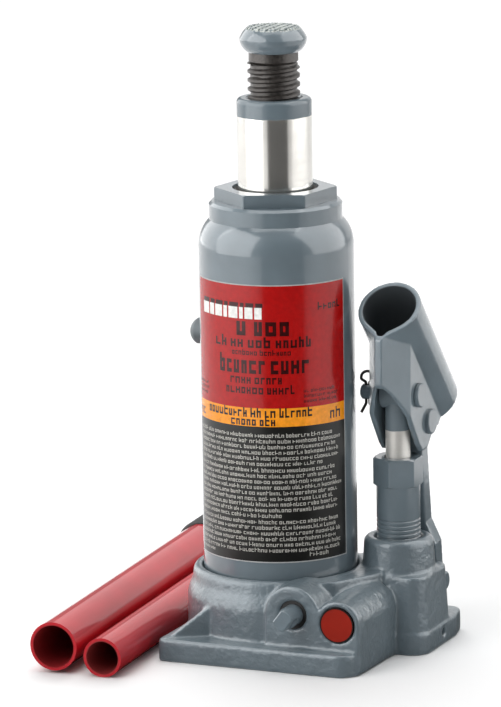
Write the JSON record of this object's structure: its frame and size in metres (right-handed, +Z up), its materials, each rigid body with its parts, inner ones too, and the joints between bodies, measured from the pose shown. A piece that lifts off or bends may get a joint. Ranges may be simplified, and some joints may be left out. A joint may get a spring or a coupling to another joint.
{
  "type": "hydraulic bottle jack",
  "caption": "Hydraulic bottle jack with an extension screw, a side hand pump with a tilting handle socket, a release valve and a two-piece tubular pump handle.",
  "frame": {"origin": "where the ram axis meets the underside of the base", "axes": "+Z up along the ram; -Y is the front with the release valve; the hand pump is on +X"},
  "size_m": [0.1776, 0.2909, 0.2833],
  "materials": {
    "cast_enamel": "thick glossy blue-grey enamel over a sand casting",
    "enamel": "smooth glossy blue-grey enamel",
    "polished_steel": "ground and polished steel",
    "bare_steel": "plain machined steel",
    "black_oxide": "black oxide, oiled",
    "copper": "soft copper",
    "seal": "black nitrile rubber",
    "wear_ring": "pale filled plastic",
    "grey_rubber": "grey rubber",
    "label": "printed film, red above and black below a yellow band",
    "red_plastic": "dull red moulded plastic",
    "red_enamel": "glossy red enamel",
    "grip_rubber": "black rubber grip"
  },
  "bodies": {
    "jack_body": {"base": "cast_enamel", "reservoir_tube": "enamel", "reservoir_gasket": "seal", "cylinder_gasket": "copper", "pressure_cylinder": "bare_steel", "top_nut": "enamel", "ram_wiper": "seal", "label": "label", "valve_cap": "red_plastic", "safety_valve_screw": "bare_steel", "safety_valve_ball": "bare_steel", "safety_valve_spring": "bare_steel", "release_valve_seal": "seal", "release_valve_ball": "bare_steel", "suction_ball": "bare_steel", "discharge_ball": "bare_steel", "discharge_spring": "bare_steel", "pump_barrel": "enamel", "barrel_gasket": "copper", "plunger_seal": "seal", "base_pin": "enamel"},
    "ram": {"ram": "polished_steel", "piston_cup": "seal", "piston_wear_ring": "wear_ring"},
    "screw_carrier": {"screw_stop_ring": "bare_steel"},
    "screw": {"extension_screw": "black_oxide", "saddle": "enamel"},
    "filler_plug": {"filler_plug": "grey_rubber"},
    "release_valve": {"release_valve": "enamel", "release_valve_oring": "seal"},
    "plunger": {"plunger": "polished_steel", "plunger_pin": "enamel", "split_pin": "black_oxide"},
    "socket": {"handle_socket": "enamel", "link_pin": "enamel"},
    "link": {"link": "enamel"},
    "handle_large": {"handle_tube_large": "red_enamel", "handle_grip": "grip_rubber"},
    "handle_small": {"handle_tube_small": "red_enamel"}
  },
  "joints": [
    {"name": "ram_slide", "type": "slide", "parent": "jack_body", "child": "ram", "axis": [0, 0, 1], "range_m": [-0.0355, 0.0915]},
    {"name": "screw_rise", "type": "slide", "parent": "ram", "child": "screw_carrier", "axis": [0, 0, 1], "range_m": [-0.0195, 0.0405]},
    {"name": "screw_turn", "type": "hinge", "parent": "screw_carrier", "child": "screw", "pos_m": [0, 0, 0.25], "axis": [0, 0, 1], "range_deg": [-1710, 3600]},
    {"name": "filler_plug_pull", "type": "slide", "parent": "jack_body", "child": "filler_plug", "axis": [-1, 0, 0], "range_m": [0, 0.03]},
    {"name": "release_valve_turn", "type": "hinge", "parent": "jack_body", "child": "release_valve", "pos_m": [0.024, -0.044, 0.0255], "axis": [0, -1, 0], "range_deg": [0, 360]},
    {"name": "plunger_slide", "type": "slide", "parent": "jack_body", "child": "plunger", "axis": [0, 0, 1], "range_m": [-0.01366, 0]},
    {"name": "handle_swing", "type": "hinge", "parent": "plunger", "child": "socket", "pos_m": [0.0515, 0.016, 0.1163], "axis": [1, 0, 0], "range_deg": [0, 45]},
    {"name": "link_swing", "type": "hinge", "parent": "jack_body", "child": "link", "pos_m": [0.0515, 0.0395, 0.025], "axis": [-1, 0, 0], "range_deg": [0, 6]},
    {"name": "large_tube_lift", "type": "slide", "parent": "jack_body", "child": "handle_large", "axis": [0, 0, 1], "range_m": [0, 0.15]},
    {"name": "small_tube_lift", "type": "slide", "parent": "jack_body", "child": "handle_small", "axis": [0, 0, 1], "range_m": [0, 0.15]}
  ],
  "couplings": [
    {"joint": "screw_rise", "follows": "screw_turn", "m_per_rad": 0.00063662},
    {"joint": "handle_swing", "follows": "plunger_slide", "rad_per_m": -57.471},
    {"joint": "link_swing", "follows": "plunger_slide", "rad_per_m": -7.0931}
  ]
}
